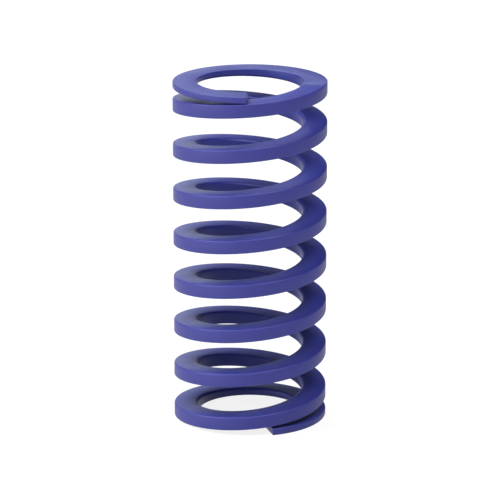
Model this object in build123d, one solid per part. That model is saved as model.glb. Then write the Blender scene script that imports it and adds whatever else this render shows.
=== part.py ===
from build123d import *
from build123d.topology import SkipClean
from math import ceil, cos, pi, radians, sin
import os

# A die spring: one rectangular wire coiled right-handed, with both ends closed and ground flat.
# The axis is Z. The origin is on the axis, in the plane of the lower ground end.

# Driving dimensions, in millimetres unless the comment says otherwise.
OUTER_DIAMETER = 20.0        # outside of the coil, the size of the pocket that it works in
INNER_DIAMETER = 13.8        # inside of the coil, which a guide rod passes through
FREE_LENGTH = 45.0           # from one ground end to the other, with no load
WIRE_HEIGHT = 1.8            # the wire's size along the axis
TURNS = 8.945                # turns of wire from tip to tip, with the closed ends
LOWER_TIP_THICKNESS = 0.9    # what the grinding leaves of the wire at the lower tip
LOWER_CLOSING_GAP = 0.28     # between the lower tip and the turn that it closes on
LOWER_LEAD_SHARE = 1.0       # how much of the pitch the lead has reached a turn from the lower tip
UPPER_TIP_THICKNESS = 0.82   # what the grinding leaves of the wire at the upper tip
UPPER_CLOSING_GAP = 0.03     # between the upper tip and the turn that it closes on
UPPER_LEAD_SHARE = 0.8       # how much of the pitch the lead has reached a turn from the upper tip
BREAK_DEPTH = 0.45           # rolled inner edges of the wire: the bevel's size across the wire
BREAK_HEIGHT = 0.35          # rolled inner edges of the wire: the bevel's size along the axis
LOWER_TIP_ANGLE = -72.7      # degrees from +X to the lower tip
TRIM_STOCK = 0.2             # what the wound strip has beyond each wall before it is trimmed

OUTER_RADIUS = OUTER_DIAMETER / 2
INNER_RADIUS = INNER_DIAMETER / 2

SPAN = 0.25                  # turns covered by one face of the strip
SPAN_STEPS = 4               # intervals between the points that guide each face's edges


def closing_climb(gap, share):
    """What the closing of an end adds to the climb of its other turns at the full pitch."""
    return (WIRE_HEIGHT + gap) * (2 * share - 1) / share**2


LOWER_END = (LOWER_CLOSING_GAP, LOWER_LEAD_SHARE)
UPPER_END = (UPPER_CLOSING_GAP, UPPER_LEAD_SHARE)
TIPS = LOWER_TIP_THICKNESS + UPPER_TIP_THICKNESS - WIRE_HEIGHT
CLOSED_ENDS = TIPS + closing_climb(*LOWER_END) + closing_climb(*UPPER_END)
PITCH = (FREE_LENGTH - CLOSED_ENDS) / (TURNS - 2)


def growth(turn, gap, share):
    """How far the lead has grown at this many turns from a tip: 0 at first, 1 after one turn.

    The wire lies flat at the tip. Its lead then grows evenly, so that after one turn the wire has
    climbed its own height and the closing gap.
    """
    flat_turn = 1 - 2 * (WIRE_HEIGHT + gap) / (share * PITCH)
    return max(turn - flat_turn, 0) / (1 - flat_turn)


def climb(turn, gap, share):
    """How far the wire has climbed at this many turns from its tip."""
    if share * growth(turn, gap, share) < 1:
        return (WIRE_HEIGHT + gap) * growth(turn, gap, share) ** 2
    return closing_climb(gap, share) + PITCH * (turn - 1)


def wire_middle(turn):
    """Height of the middle of the wire, at this many turns from the lower tip."""
    if turn < TURNS / 2:
        return LOWER_TIP_THICKNESS - WIRE_HEIGHT / 2 + climb(turn, *LOWER_END)
    below_top = UPPER_TIP_THICKNESS - WIRE_HEIGHT / 2 + climb(TURNS - turn, *UPPER_END)
    return FREE_LENGTH - below_top


def lead(turn):
    """The wire's climb for each turn, at this many turns from the lower tip."""
    from_tip, end = (turn, LOWER_END) if turn < TURNS / 2 else (TURNS - turn, UPPER_END)
    return PITCH * min(end[1] * growth(from_tip, *end), 1)


def strip_section():
    """Corners of the strip as (radius, height from its middle), with stock beyond both walls."""
    half = WIRE_HEIGHT / 2
    inner_side = half - BREAK_HEIGHT * (1 + TRIM_STOCK / BREAK_DEPTH)
    upper = [
        (OUTER_RADIUS + TRIM_STOCK, half),
        (INNER_RADIUS + BREAK_DEPTH, half),
        (INNER_RADIUS - TRIM_STOCK, inner_side),
    ]
    return upper + [(radius, -height) for radius, height in reversed(upper)]


def rail(radius, offset, start, stop):
    """The path of one corner of the strip, from one turn to another."""

    def point(turn):
        angle = radians(LOWER_TIP_ANGLE) + 2 * pi * turn
        return radius * cos(angle), radius * sin(angle), wire_middle(turn) + offset

    def tangent(turn):
        angle = radians(LOWER_TIP_ANGLE) + 2 * pi * turn
        sweep_rate = 2 * pi * radius
        return -sweep_rate * sin(angle), sweep_rate * cos(angle), lead(turn)

    turns = [start + (stop - start) * step / SPAN_STEPS for step in range(SPAN_STEPS + 1)]
    return Spline(*[point(turn) for turn in turns], tangents=[tangent(start), tangent(stop)])


def broad_face(one, other):
    """A patch filled in between two rails. It takes far fewer facets than a ruled one as broad."""
    return Face.make_surface([one, Line(one @ 1, other @ 1), other, Line(other @ 0, one @ 0)])


def span_faces(rails):
    """The strip's six sides over one span: broad above and below, narrow and ruled elsewhere."""
    top_outer, top_inner, bevel_top, bevel_bottom, bottom_inner, bottom_outer = rails
    inside = [top_inner, bevel_top, bevel_bottom, bottom_inner]
    ruled = list(zip(inside, inside[1:])) + [(top_outer, bottom_outer)]
    faces = [Face.make_surface_from_curves(one, other) for one, other in ruled]
    return faces + [broad_face(top_outer, top_inner), broad_face(bottom_outer, bottom_inner)]


def tip_face(corners):
    """The flat cut across the strip at a tip."""
    return make_face(Polyline(*corners, close=True)).face()


def wound_strip():
    """The wire as wound, before its walls are trimmed and its ends ground."""
    faces = []
    for count in range(ceil(TURNS / SPAN)):
        start = SPAN * count
        stop = min(start + SPAN, TURNS)
        rails = [rail(radius, offset, start, stop) for radius, offset in strip_section()]
        faces += span_faces(rails)
        if start == 0:
            faces.append(tip_face([edge @ 0 for edge in rails]))
        if stop == TURNS:
            faces.append(tip_face([edge @ 1 for edge in rails]))
    return Solid(Shell(faces))


def ring_outline(radius):
    """A circle in four arcs, so that the wall raised on it is four faces of a quarter turn."""
    first = LOWER_TIP_ANGLE + 45
    return Wire([CenterArc((0, 0), radius, first + 90 * quarter, 90) for quarter in range(4)])


def trimming_tube():
    """The tube that the finished spring keeps within: its round walls and its two flat ends."""
    ring = Face(ring_outline(OUTER_RADIUS), [ring_outline(INNER_RADIUS)])
    return Solid.extrude(ring, Vector(0, 0, FREE_LENGTH))


def die_spring():
    """The strip, trimmed to round walls and ground to length. Its quarter faces stay apart."""
    with SkipClean():
        return wound_strip() & trimming_tube()


os.makedirs("parts", exist_ok=True)
export_step(die_spring(), "parts/die_spring.step")
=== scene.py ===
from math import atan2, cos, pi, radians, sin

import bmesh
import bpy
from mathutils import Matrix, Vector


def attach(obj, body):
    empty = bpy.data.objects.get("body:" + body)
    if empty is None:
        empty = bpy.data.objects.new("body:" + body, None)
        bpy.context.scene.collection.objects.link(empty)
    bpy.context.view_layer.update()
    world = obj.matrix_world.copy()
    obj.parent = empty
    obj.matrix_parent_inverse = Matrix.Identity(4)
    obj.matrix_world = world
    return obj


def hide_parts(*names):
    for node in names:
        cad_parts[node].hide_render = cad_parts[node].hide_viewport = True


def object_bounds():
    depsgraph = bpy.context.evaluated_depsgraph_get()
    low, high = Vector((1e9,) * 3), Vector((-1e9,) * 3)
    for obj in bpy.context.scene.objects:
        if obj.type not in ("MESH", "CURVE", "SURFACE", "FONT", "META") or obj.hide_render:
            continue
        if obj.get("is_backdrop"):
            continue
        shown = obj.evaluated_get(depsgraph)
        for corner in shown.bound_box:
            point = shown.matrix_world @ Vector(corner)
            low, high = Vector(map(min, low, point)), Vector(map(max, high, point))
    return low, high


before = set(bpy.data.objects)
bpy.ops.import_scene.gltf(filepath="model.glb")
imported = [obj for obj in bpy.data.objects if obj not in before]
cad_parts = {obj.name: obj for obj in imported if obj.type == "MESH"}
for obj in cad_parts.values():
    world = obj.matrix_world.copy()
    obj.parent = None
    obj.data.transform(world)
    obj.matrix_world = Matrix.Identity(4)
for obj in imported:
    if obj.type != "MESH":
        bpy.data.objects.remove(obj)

# %% [markdown]
# # A die spring
# A die spring is the strong spring that a press tool or a mould uses to push two plates apart.
# It is one length of rectangular wire, wound into a coil and heat-treated. Its two end turns are
# closed on to their neighbours and ground flat, so that it stands square, and then it is enamelled.
#
# The engineering model is already loaded. Here it gets the form and finish that the eye sees:
# the rounded corners of the rolled wire, the soft rims of the ground ends, and the enamel.
# Everything is in metres. The coil's axis is Z, and the lower end stands on Z = 0.

MM = 0.001
for name in ("Cube", "Light", "Camera"):
    if name in bpy.data.objects:
        bpy.data.objects.remove(bpy.data.objects[name])
cad_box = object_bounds()
print("CAD box in mm:", [[round(value / MM, 2) for value in corner] for corner in cad_box])

# %% [markdown]
# ## The spring's own sizes
# These repeat the named sizes of the part's source. A spring is described by its outside and
# inside diameters, its free length, the height of its wire and its number of turns. Each closed
# end needs three more: the thickness that grinding leaves at the tip, the small gap between the
# tip and the turn that it closes on, and how much of the full pitch is reached a turn further on.

# %% Sizes
OUTER_RADIUS = 10.0 * MM
INNER_RADIUS = 6.9 * MM
FREE_LENGTH = 45.0 * MM
WIRE_HEIGHT = 1.8 * MM
TURNS = 8.945
LOWER_TIP_THICKNESS = 0.9 * MM
UPPER_TIP_THICKNESS = 0.82 * MM
LOWER_TIP_ANGLE = -72.7

LOWER_END = (WIRE_HEIGHT + 0.28 * MM, 1.0)
UPPER_END = (WIRE_HEIGHT + 0.03 * MM, 0.8)


def closing_climb(first_turn, share):
    """What the closing of an end adds to the climb of its other turns at the full pitch."""
    return first_turn * (2 * share - 1) / share**2


tips = LOWER_TIP_THICKNESS + UPPER_TIP_THICKNESS - WIRE_HEIGHT
closed_ends = tips + closing_climb(*LOWER_END) + closing_climb(*UPPER_END)
PITCH = (FREE_LENGTH - closed_ends) / (TURNS - 2)
print(f"pitch {PITCH / MM:.3f} mm")

# %% [markdown]
# ## How an end closes
# A spring winder sets the lead, the rise for each turn, while the wire runs. At a tip the lead is
# nothing, so the wire lies flat. It then grows evenly, so that after one turn the wire has climbed
# just clear of the tip. Where it reaches the pitch it stays, and the working turns begin.
# The same rule shapes both ends here, so it is written once, as a function of the turns from a tip.

# %% The climb from a tip
def climb(turn, first_turn, share):
    """How far the wire has climbed at this many turns from a tip."""
    flat_turn = 1 - 2 * first_turn / (share * PITCH)
    growth = max(turn - flat_turn, 0) / (1 - flat_turn)
    if share * growth < 1:
        return first_turn * growth**2
    return closing_climb(first_turn, share) + PITCH * (turn - 1)


def wire_middle(turn):
    """Height of the middle of the wire, at this many turns from the lower tip."""
    if turn < TURNS / 2:
        return LOWER_TIP_THICKNESS - WIRE_HEIGHT / 2 + climb(turn, *LOWER_END)
    return FREE_LENGTH - (UPPER_TIP_THICKNESS - WIRE_HEIGHT / 2 + climb(TURNS - turn, *UPPER_END))


for place in (0, 0.5, 1, 2, TURNS / 2, TURNS - 1, TURNS):
    print(f"after {place:.2f} turns the wire's middle is at {wire_middle(place) / MM:.2f} mm")

# %% [markdown]
# ## Choosing what an operator acts on
# Blender's operators act on all that is selected, in the object that is active. A person clicks on
# an edge, and a script has to say which edges it means, by their place, their length or the angle
# of the faces that meet there. Two small helpers do that for every step that follows.

# %% Helpers for choosing
def deselect_everything():
    """Leave edit mode with nothing selected, because an operator acts on all that is."""
    if bpy.context.object and bpy.context.object.mode == "EDIT":
        bpy.ops.object.mode_set(mode="OBJECT")
    bpy.ops.object.select_all(action="DESELECT")


def choose(piece, kind, wanted):
    """In edit mode, select the vertices, edges or faces for which wanted(item) is true."""
    bpy.ops.mesh.select_mode(type=kind)
    bpy.ops.mesh.select_all(action="DESELECT")
    mesh = bmesh.from_edit_mesh(piece.data)
    items = {"VERT": mesh.verts, "EDGE": mesh.edges, "FACE": mesh.faces}[kind]
    chosen = [item for item in items if wanted(item)]
    for item in chosen:
        item.select_set(True)
    mesh.select_flush_mode()
    bmesh.update_edit_mesh(piece.data)
    return len(chosen)


# %% [markdown]
# ## The wire's section
# Wire for die springs is rolled from round wire, so its corners are rounded and not square. When
# it is wound, the inside is squeezed, which rounds the inner corners more. The section could be
# drawn point by point. A plane with its corners bevelled is quicker, and its two radii stay clear.

# %% The section: a plane with its corners rounded
OUTER_CORNER = 0.2 * MM
OUTER_CORNER_STEPS = 5
INNER_CORNER = 0.34 * MM
INNER_CORNER_STEPS = 7

deselect_everything()
middle_radius = (OUTER_RADIUS + INNER_RADIUS) / 2
wire_width = OUTER_RADIUS - INNER_RADIUS
bpy.ops.mesh.primitive_plane_add(size=1, location=(middle_radius, 0, 0), rotation=(pi / 2, 0, 0))
spring = bpy.context.object
spring.name = "die_spring_coil"
spring.data.name = "die_spring_coil"
spring.scale = (wire_width, WIRE_HEIGHT, 1)
bpy.ops.object.transform_apply(location=True, rotation=True, scale=True)
bpy.ops.object.mode_set(mode="EDIT")
choose(spring, "VERT", lambda vertex: vertex.co.x > middle_radius)
bpy.ops.mesh.bevel(
    offset=OUTER_CORNER, segments=OUTER_CORNER_STEPS, affect="VERTICES", clamp_overlap=False
)
choose(spring, "VERT", lambda vertex: vertex.co.x < INNER_RADIUS + 0.01 * MM)
bpy.ops.mesh.bevel(
    offset=INNER_CORNER, segments=INNER_CORNER_STEPS, affect="VERTICES", clamp_overlap=False
)
bpy.ops.mesh.select_all(action="SELECT")
bpy.ops.mesh.delete(type="ONLY_FACE")
bpy.ops.object.mode_set(mode="OBJECT")
print("corners in the section's outline:", len(spring.data.vertices))

# %% [markdown]
# ## The working turns
# Between the closed ends the spring is a plain helix. The Screw modifier makes one from an outline,
# an angle and a rise, as a lathe cuts a thread. The outline has no face, because the helix is a
# tube of skin, and only its two ends will be covered.

# %% The working turns: the outline, screwed upwards
STEPS_PER_TURN = 112
CLOSING_TURNS = 1.25

working_turns = TURNS - 2 * CLOSING_TURNS
bpy.ops.object.mode_set(mode="EDIT")
bpy.ops.mesh.select_all(action="SELECT")
bpy.ops.transform.translate(value=(0, 0, wire_middle(CLOSING_TURNS)))
bpy.ops.object.mode_set(mode="OBJECT")

screw = spring.modifiers.new("Working turns", "SCREW")
screw.axis = "Z"
screw.angle = 2 * pi * working_turns
screw.screw_offset = wire_middle(TURNS - CLOSING_TURNS) - wire_middle(CLOSING_TURNS)
screw.steps = round(STEPS_PER_TURN * working_turns)
screw.render_steps = screw.steps
bpy.ops.object.modifier_apply(modifier=screw.name)
heights = [vertex.co.z for vertex in spring.data.vertices]
print("working turns from", round(min(heights) / MM, 2), "to", round(max(heights) / MM, 2), "mm")

# %% [markdown]
# ## The closed ends
# The lead changes along an end, and one Screw modifier has one lead. So each end is extruded from
# the last outline, a small step at a time: up or down by the climb of that step, and round by the
# step's angle. When the outline reaches the tip, a face covers it.

# %% Both ends, extruded from the helix
def close_end(side, end):
    """Extrude an end's turns. side is 1 for the upper end and -1 for the lower one."""
    def on_the_open_end(edge):
        return edge.is_boundary and (edge.verts[0].co.z - FREE_LENGTH / 2) * side > 0

    choose(spring, "EDGE", on_the_open_end)
    for step in range(round(STEPS_PER_TURN * CLOSING_TURNS), 0, -1):
        rise = climb(step / STEPS_PER_TURN, *end) - climb((step - 1) / STEPS_PER_TURN, *end)
        bpy.ops.mesh.extrude_region_move(TRANSFORM_OT_translate={"value": (0, 0, side * rise)})
        bpy.ops.transform.rotate(
            value=-side * 2 * pi / STEPS_PER_TURN, orient_axis="Z", center_override=(0, 0, 0)
        )
    bpy.ops.mesh.edge_face_add()


bpy.ops.object.mode_set(mode="EDIT")
close_end(1, UPPER_END)
close_end(-1, LOWER_END)
bpy.ops.mesh.select_all(action="SELECT")
bpy.ops.mesh.normals_make_consistent(inside=False)
bpy.ops.object.mode_set(mode="OBJECT")
spring.rotation_euler.z = radians(LOWER_TIP_ANGLE + 360 * CLOSING_TURNS)
bpy.ops.object.transform_apply(rotation=True)
heights = [vertex.co.z for vertex in spring.data.vertices]
print("length before grinding:", round((max(heights) - min(heights)) / MM, 2), "mm")

# %% [markdown]
# ## Grinding the ends
# The wound coil is too long, and its end turns have the wire's full height. A grinder takes both
# ends down between two flat wheels. That leaves most of each end turn as a flat ring, and the tip
# at its given thickness. Bisect does the same: it cuts with a plane, throws away what is outside
# and fills the cut with a flat face.

# %% Both ends, ground to length
bpy.ops.object.mode_set(mode="EDIT")
for height, outward in ((FREE_LENGTH, 1), (0, -1)):
    bpy.ops.mesh.select_all(action="SELECT")
    bpy.ops.mesh.bisect(
        plane_co=(0, 0, height),
        plane_no=(0, 0, outward),
        clear_outer=True,
        use_fill=True,
        threshold=1e-8,
    )
bpy.ops.object.mode_set(mode="OBJECT")
level = [face for face in spring.data.polygons if abs(face.normal.z) > 0.9999]
rings = [face for face in level if face.area > 50 * MM**2]
print("ground faces in mm2:", [round(face.area / MM**2, 1) for face in rings])

# %% [markdown]
# ## Broken rims
# Grinding leaves burrs and sharp rims, which would cut the paint and the hand, so the ends are
# tumbled until the rims are just rounded. A small bevel on the rims gives that soft line of light.
# It takes only the edges where the flat ring meets an upright wall. Where the ring runs out in a
# feather edge the wire's own rounded corner takes over, and there is nothing to break.

# %% Rims of the ground faces, bevelled
RIM_BREAK = 0.09 * MM
RIM_STEPS = 3
IN_PLANE = 0.001 * MM


def on_a_ground_rim(edge):
    """Whether an edge lies in a ground plane, beside a wall that is deep enough to round."""
    plane = 0 if edge.verts[0].co.z < FREE_LENGTH / 2 else FREE_LENGTH
    if max(abs(vertex.co.z - plane) for vertex in edge.verts) > IN_PLANE:
        return False
    wall = min(edge.link_faces, key=lambda face: face.calc_area())
    depths = [abs(vertex.co.z - plane) for vertex in wall.verts if vertex not in edge.verts]
    return edge.calc_face_angle(0) > radians(80) and min(depths) > 1.5 * RIM_BREAK


bpy.ops.object.mode_set(mode="EDIT")
rim_edges = choose(spring, "EDGE", on_a_ground_rim)
bpy.ops.mesh.bevel(offset=RIM_BREAK, segments=RIM_STEPS, affect="EDGES", clamp_overlap=False)
bpy.ops.object.mode_set(mode="OBJECT")
print("rim edges rounded:", rim_edges)

# %% [markdown]
# ## Smooth shading and the frame
# The helix is made of short flat faces. Shading them smooth up to an angle hides the steps round
# the coil and keeps the two ground faces crisp. The spring then rides the frame's one body, and
# it takes the place of the plain solid.

# %% Shade the spring and hand it to the frame
bpy.ops.object.shade_smooth_by_angle(angle=radians(38))
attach(spring, "root")
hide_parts("die_spring")
print("faces in the finished coil:", len(spring.data.polygons))

# %% [markdown]
# ## Where a point lies on the wire
# Marks on a rolled wire run along it, and paint draws back from its edges. A pattern in plain XYZ
# would cut across the coil, so each vertex stores two numbers that follow the wire: how many turns
# along it is, and how high it is in the wire, from -1 at the underside to 1 at the top. A third
# number marks the two ground faces. The material reads all three as attributes.

# %% Attributes that follow the wire
def turn_at(point):
    """Turns from the lower tip to a point of the coil, on the wire's pass that is nearest to it."""
    first = (atan2(point.y, point.x) - radians(LOWER_TIP_ANGLE)) / (2 * pi) % 1
    passes = [first + count for count in range(-1, round(TURNS) + 1)]
    passes = [min(max(turn, 0), TURNS) for turn in passes if -0.02 < turn < TURNS + 0.02]
    return min(passes, key=lambda turn: abs(wire_middle(turn) - point.z))


places = [vertex.co for vertex in spring.data.vertices]
turns = [turn_at(place) for place in places]
rises = [(place.z - wire_middle(turn)) / (WIRE_HEIGHT / 2) for place, turn in zip(places, turns)]
marks = [float(place.z < IN_PLANE or place.z > FREE_LENGTH - IN_PLANE) for place in places]
for name, values in (("along_wire", turns), ("up_wire", rises), ("ground", marks)):
    attribute = spring.data.attributes.new(name, "FLOAT", "POINT")
    attribute.data.foreach_set("value", values)
print("turns from", round(min(turns), 3), "to", round(max(turns), 3))

# %% [markdown]
# ## The enamel: a few helpers
# A node material is a small circuit. Written out in full, most of it is wiring, so three helpers
# hide the wires: one adds a node and sets its inputs, one adds a sum, and one stretches a range.
# An input may be a number, a colour or the output of an earlier node. A fourth starts a material.

# %% Helpers for node materials
def new_material(name):
    """A material with its nodes on, its node tree and its Principled shader."""
    material = bpy.data.materials.new(name)
    material.use_nodes = True
    return material, material.node_tree, material.node_tree.nodes["Principled BSDF"]


def add_node(tree, kind, inputs=(), **settings):
    """Add a node. inputs pairs each socket's name or number with a value or an earlier output."""
    node = tree.nodes.new(kind)
    for setting, value in settings.items():
        setattr(node, setting, value)
    for socket, value in dict(inputs).items():
        if isinstance(value, bpy.types.NodeSocket):
            tree.links.new(value, node.inputs[socket])
        else:
            node.inputs[socket].default_value = value
    return node


def calculate(tree, operation, *values):
    """A Math node's result."""
    return add_node(tree, "ShaderNodeMath", enumerate(values), operation=operation).outputs[0]


def stretch(tree, value, low, high, to_low=0.0, to_high=1.0):
    """A value from one range, brought smoothly to another."""
    ends = {"From Min": low, "From Max": high, "To Min": to_low, "To Max": to_high}
    inputs = {"Value": value, **ends}
    return add_node(tree, "ShaderNodeMapRange", inputs, interpolation_type="SMOOTHSTEP").outputs[0]


# %% [markdown]
# ## The enamel: the places that differ
# Enamel shrinks back from a corner as it dries, so the coat is thinnest along the wire's four
# edges, and the same place gets a painted highlight of the rounded edges. A point is near an edge
# when it is near both a wall and a broad face. The walls are at two known radii and the broad
# faces at -1 and 1 in up_wire, so two ranges are enough to find it. The outer wall gets a painted
# reflection and shade in its colour, and the ground faces a painted sheen. The outer wall, which
# rubs in the pocket and in the hand, and the ground faces are duller too. One is found from the
# radius, and the others have their own attribute.

# %% Edges, outer wall and ground faces
EDGE_WIDTH = 0.3 * MM
EDGE_STARTS = 0.74

enamel, tree, paint = new_material("violet_blue_enamel")
coordinates = add_node(tree, "ShaderNodeTexCoord").outputs["Object"]
flattened = add_node(
    tree, "ShaderNodeVectorMath", {0: coordinates, 1: (1, 1, 0)}, operation="MULTIPLY"
).outputs[0]
radius = add_node(
    tree, "ShaderNodeVectorMath", {0: flattened}, operation="LENGTH"
).outputs["Value"]
turn = add_node(tree, "ShaderNodeAttribute", attribute_name="along_wire").outputs["Fac"]
height_in_wire = add_node(tree, "ShaderNodeAttribute", attribute_name="up_wire").outputs["Fac"]
ground_face = add_node(tree, "ShaderNodeAttribute", attribute_name="ground").outputs["Fac"]

from_middle = calculate(tree, "ABSOLUTE", calculate(tree, "SUBTRACT", radius, middle_radius))
near_wall = stretch(tree, from_middle, wire_width / 2 - EDGE_WIDTH, wire_width / 2)
near_broad_face = stretch(tree, calculate(tree, "ABSOLUTE", height_in_wire), EDGE_STARTS, 1.0)
# The edge mask: where the coat is thin, and where a highlight of the rounded edges is painted.
thin_coat_and_highlight = calculate(tree, "MULTIPLY", near_wall, near_broad_face)
outer_wall = stretch(tree, radius, OUTER_RADIUS - EDGE_WIDTH, OUTER_RADIUS - 0.05 * MM)
print("nodes so far:", len(tree.nodes))

# %% [markdown]
# ## The enamel: colour
# Sprayed and baked enamel isn't one flat colour. It drifts by a few hundredths from place to
# place, with the thickness of the coat. Two noises give the drift: a broad one some millimetres
# across, and a fine one like the grain of the spray. On the outer wall it is painted a touch
# greyer, darker and more purple, a painted reflection and shade. The ground faces are painted
# paler, a painted sheen of the light on the top ring. The edges are painted lighter and bluer,
# partly for the thin coat there and partly as a painted highlight on the rounded edges. Each of
# these is a share of another colour, laid over the one before.

# %% Colour
DEEP_ENAMEL = (0.0160, 0.0200, 0.145, 1)
MIDDLE_ENAMEL = (0.0200, 0.0245, 0.170, 1)
# Painted reflection and shade: the outer wall is painted greyer, darker and more purple.
WALL_PAINTED_REFLECTION_AND_SHADE = (0.0225, 0.0215, 0.150, 1)
# Painted sheen: the ground faces, the top ring above all, are painted paler and greyer.
GROUND_PAINTED_SHEEN = (0.0400, 0.0460, 0.168, 1)
# Thin coat and painted highlight: the wire's edges are painted lighter and bluer.
THIN_COAT_AND_PAINTED_HIGHLIGHT = (0.0300, 0.0320, 0.190, 1)
WALL_REFLECTION_AND_SHADE_SHARE = 0.75
GROUND_SHEEN_SHARE = 0.85
THIN_COAT_AND_HIGHLIGHT_SHARE = 0.55
BROAD_DRIFT = 0.65
GRAIN_DRIFT = 0.35


def lay_over(under, place, share, over):
    """A colour with a share of another over it, in the places where place is 1."""
    inputs = {"Factor": calculate(tree, "MULTIPLY", place, share), 6: under, 7: over}
    return add_node(tree, "ShaderNodeMix", inputs, data_type="RGBA").outputs[2]


def noise_at(place, scale, detail):
    """A noise's value at this place."""
    inputs = {"Vector": place, "Scale": scale, "Detail": detail}
    return add_node(tree, "ShaderNodeTexNoise", inputs).outputs["Fac"]


broad_noise = noise_at(coordinates, 260, 3)
grain = noise_at(coordinates, 5200, 2)
broad_drift = stretch(tree, broad_noise, 0.3, 0.7, 0, BROAD_DRIFT)
drift = calculate(tree, "MULTIPLY_ADD", grain, GRAIN_DRIFT, broad_drift)
colour = lay_over(DEEP_ENAMEL, drift, 1.0, MIDDLE_ENAMEL)
# The next three layers paint reflection, shade, sheen and an edge highlight into the colour.
colour = lay_over(colour, outer_wall, WALL_REFLECTION_AND_SHADE_SHARE, WALL_PAINTED_REFLECTION_AND_SHADE)
colour = lay_over(colour, ground_face, GROUND_SHEEN_SHARE, GROUND_PAINTED_SHEEN)
colour = lay_over(colour, thin_coat_and_highlight, THIN_COAT_AND_HIGHLIGHT_SHARE, THIN_COAT_AND_PAINTED_HIGHLIGHT)
tree.links.new(colour, paint.inputs["Base Color"])
print("enamel from", DEEP_ENAMEL[:3], "to", MIDDLE_ENAMEL[:3])

# %% [markdown]
# ## The enamel: relief
# Close up, three reliefs show through the coat. Spray dries with a soft orange peel. Rolling
# leaves fine lines along the wire. Grinding leaves straight scratches on the two end faces, which
# the coat fills but doesn't hide. They are a few thousandths of a millimetre high, so they are
# bump and not mesh. A line is a noise that is stretched: slow one way and quick across it.

# %% Relief
PEEL_DEPTH = 0.003 * MM
ROLLING_DEPTH = 0.001 * MM
SCRATCH_DEPTH = 0.002 * MM


def relief(height, depth, below=None):
    """A bump of this height pattern, this deep in metres, on top of the one below it."""
    inputs = {"Height": height, "Distance": depth, "Strength": 1.0}
    if below is not None:
        inputs["Normal"] = below
    return add_node(tree, "ShaderNodeBump", inputs).outputs["Normal"]


peel = noise_at(coordinates, 1500, 1)
along = calculate(tree, "MULTIPLY", turn, 14)
across = calculate(tree, "MULTIPLY", radius, 9000)
upward = calculate(tree, "MULTIPLY", height_in_wire, 9)
wire_place = add_node(
    tree, "ShaderNodeCombineXYZ", {"X": along, "Y": across, "Z": upward}
).outputs[0]
rolling_lines = noise_at(wire_place, 1, 2)
scratch_place = add_node(
    tree, "ShaderNodeVectorMath", {0: coordinates, 1: (250, 9000, 1)}, operation="MULTIPLY"
).outputs[0]
scratches = calculate(tree, "MULTIPLY", noise_at(scratch_place, 1, 2), ground_face)

surface = relief(peel, PEEL_DEPTH)
surface = relief(rolling_lines, ROLLING_DEPTH, surface)
surface = relief(scratches, SCRATCH_DEPTH, surface)
tree.links.new(surface, paint.inputs["Normal"])
print("nodes with the relief:", len(tree.nodes))

# %% [markdown]
# ## The enamel: gloss
# The gloss is soft, with a roughness that drifts a little with the thickness of the coat, and it
# is softer still on the outer wall and on the ground faces.

# %% Gloss
GLOSSIEST = 0.39
DULLEST = 0.43
EXTRA_DULL = 0.09

dull_places = calculate(tree, "MAXIMUM", outer_wall, ground_face)
uneven_gloss = stretch(tree, broad_noise, 0.25, 0.75, GLOSSIEST, DULLEST)
roughness = calculate(tree, "MULTIPLY_ADD", dull_places, EXTRA_DULL, uneven_gloss)
tree.links.new(roughness, paint.inputs["Roughness"])
paint.inputs["Specular IOR Level"].default_value = 0.36
paint.inputs["Specular Tint"].default_value = (0.82, 0.87, 1.0, 1)
spring.data.materials.clear()
spring.data.materials.append(enamel)
print("nodes in the enamel:", len(tree.nodes))

# %% [markdown]
# ## The floor
# A product like this stands on a white sweep. The floor is a large plane in a pale, matt colour.
# For the camera, and for what mirrors and glass would show, most of it is plain white light of
# strength 1, which keeps the background even. The rest is the lit surface, with the soft shadow.

# %% A pale floor that keeps the shadow
PLAIN_WHITE_SHARE = 0.85
FLOOR_SIZE = 6
FLOOR_COLOUR = (0.85, 0.85, 0.85, 1)

deselect_everything()
bpy.ops.mesh.primitive_plane_add(size=FLOOR_SIZE, location=(0, 0, 0))
floor = bpy.context.object
floor.name = "studio_floor"
studio_white, floor_tree, floor_paint = new_material("studio_white")
floor_paint.inputs["Base Color"].default_value = FLOOR_COLOUR
floor_paint.inputs["Roughness"].default_value = 0.9
floor_paint.inputs["Specular IOR Level"].default_value = 0.0
white_light = add_node(floor_tree, "ShaderNodeEmission", {"Color": (1, 1, 1, 1), "Strength": 1})
ray = add_node(floor_tree, "ShaderNodeLightPath").outputs
seen = calculate(floor_tree, "MAXIMUM", ray["Is Camera Ray"], ray["Is Glossy Ray"])
seen = calculate(floor_tree, "MAXIMUM", seen, ray["Is Transmission Ray"])
white_share = calculate(floor_tree, "MULTIPLY", seen, PLAIN_WHITE_SHARE)
layers = {0: white_share, 1: floor_paint.outputs[0], 2: white_light.outputs[0]}
blend = add_node(floor_tree, "ShaderNodeMixShader", layers).outputs[0]
floor_tree.links.new(blend, floor_tree.nodes["Material Output"].inputs["Surface"])
floor.data.materials.append(studio_white)
floor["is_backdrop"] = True
print("floor:", [round(side, 1) for side in floor.dimensions], "m")

# %% [markdown]
# ## The lights
# Enamel in a dark colour is lit as much by what it mirrors as by what falls on it. Two low strips
# on the left give the left of each turn its pale, even shine, and the turn's middle falls off to
# a deeper blue. Higher boxes on the left, in front and on the right light the broad faces and the
# ground ring. Behind the coil, a high box and a weak, slightly cool strip lift the tops of the
# turns. All stand equally far away, so each is given by its direction, its size and its power.

# %% Softboxes, set by where they stand round the spring
LAMP_DISTANCE = 0.7
STRIP = (0.36, 0.17)
BOX = (0.32, 0.26)
MIDDLE_BOX = (0.42, 0.26)
WIDE_BOX = (0.44, 0.26)
WHITE = (1, 1, 1)
COOL_WHITE = (0.8, 0.88, 1.0)


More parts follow.
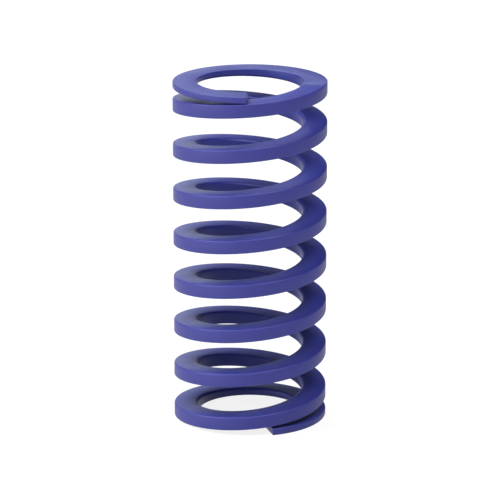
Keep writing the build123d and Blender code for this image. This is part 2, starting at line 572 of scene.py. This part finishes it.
def softbox(name, azimuth, elevation, size, power, colour=WHITE):
    """A soft light that faces the spring. Azimuth 0 is in front, and 90 is to the right."""
    light = bpy.data.lights.new(name, "AREA")
    light.shape = "RECTANGLE"
    light.size, light.size_y = size
    light.energy = power
    light.color = colour
    lamp = bpy.data.objects.new(name, light)
    bpy.context.scene.collection.objects.link(lamp)
    out = Vector((
        sin(radians(azimuth)) * cos(radians(elevation)),
        -cos(radians(azimuth)) * cos(radians(elevation)),
        sin(radians(elevation)),
    ))
    lamp.location = Vector((0, 0, FREE_LENGTH / 2)) + out * LAMP_DISTANCE
    lamp.rotation_mode = "QUATERNION"
    lamp.rotation_quaternion = out.to_track_quat("Z", "Y")
    print(name, "at", [round(value, 2) for value in lamp.location], "m")


softbox("low_left_strip", -75, 7, STRIP, 1.4)
softbox("low_front_strip", -45, 7, STRIP, 0.9)
softbox("middle_left_box", -80, 32, MIDDLE_BOX, 2.1)
softbox("high_left_box", -95, 56, WIDE_BOX, 4.1)
softbox("back_left_box", -160, 56, BOX, 2.8)
softbox("front_box", 0, 56, BOX, 1.9)
softbox("right_box", 40, 56, BOX, 3.7)
softbox("low_back_strip", -165, 7, STRIP, 0.42, COOL_WHITE)

# %% [markdown]
# ## The air
# The softboxes do the work. The world behind them only keeps the darkest gaps from being black.

# %% World
AIR_STRENGTH = 0.05

world = bpy.data.worlds.new("studio_air")
bpy.context.scene.world = world
world.use_nodes = True
air = world.node_tree.nodes["Background"].inputs
air["Color"].default_value = (1, 1, 1, 1)
air["Strength"].default_value = AIR_STRENGTH
print("world strength:", AIR_STRENGTH)

# %% [markdown]
# ## The camera
# The spring is seen from a little above, from straight in front of its tips. A long lens from
# forty centimetres away keeps the coil nearly parallel, with just enough perspective that the
# lower turns show more of their inside than the upper ones. It aims a little below the middle.

# %% Camera
CAMERA_ELEVATION = radians(15.81)
CAMERA_DISTANCE = 0.3913
LENS_MM = 215.36
SENSOR_MM = 36
AIM_BELOW_MIDDLE = 0.18 * MM

camera_data = bpy.data.cameras.new("camera")
camera = bpy.data.objects.new("camera", camera_data)
bpy.context.scene.collection.objects.link(camera)
camera_data.lens = LENS_MM
camera_data.sensor_width = SENSOR_MM
camera_data.clip_start = 0.01
camera_data.clip_end = 20
back = Vector((0, -cos(CAMERA_ELEVATION), sin(CAMERA_ELEVATION)))
aim = Vector((0, 0, FREE_LENGTH / 2 - AIM_BELOW_MIDDLE))
camera.location = aim + back * CAMERA_DISTANCE
camera.rotation_mode = "QUATERNION"
camera.rotation_quaternion = back.to_track_quat("Z", "Y")
bpy.context.scene.camera = camera
bpy.context.scene.view_settings.view_transform = "Standard"
print("camera at", [round(value, 3) for value in camera.location], "m")

# %% [markdown]
# ## Measure and finish
# The finished coil must stay inside the box of the engineering model. Both boxes are measured and
# written down, and then the frame takes over.

# %% Measure the two boxes and finish
seen_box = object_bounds()
print("finished box in mm:", [[round(value / MM, 3) for value in corner] for corner in seen_box])
boxes = {"cad": cad_box, "visual": seen_box}
boxes = {name: [list(corner) for corner in box] for name, box in boxes.items()}
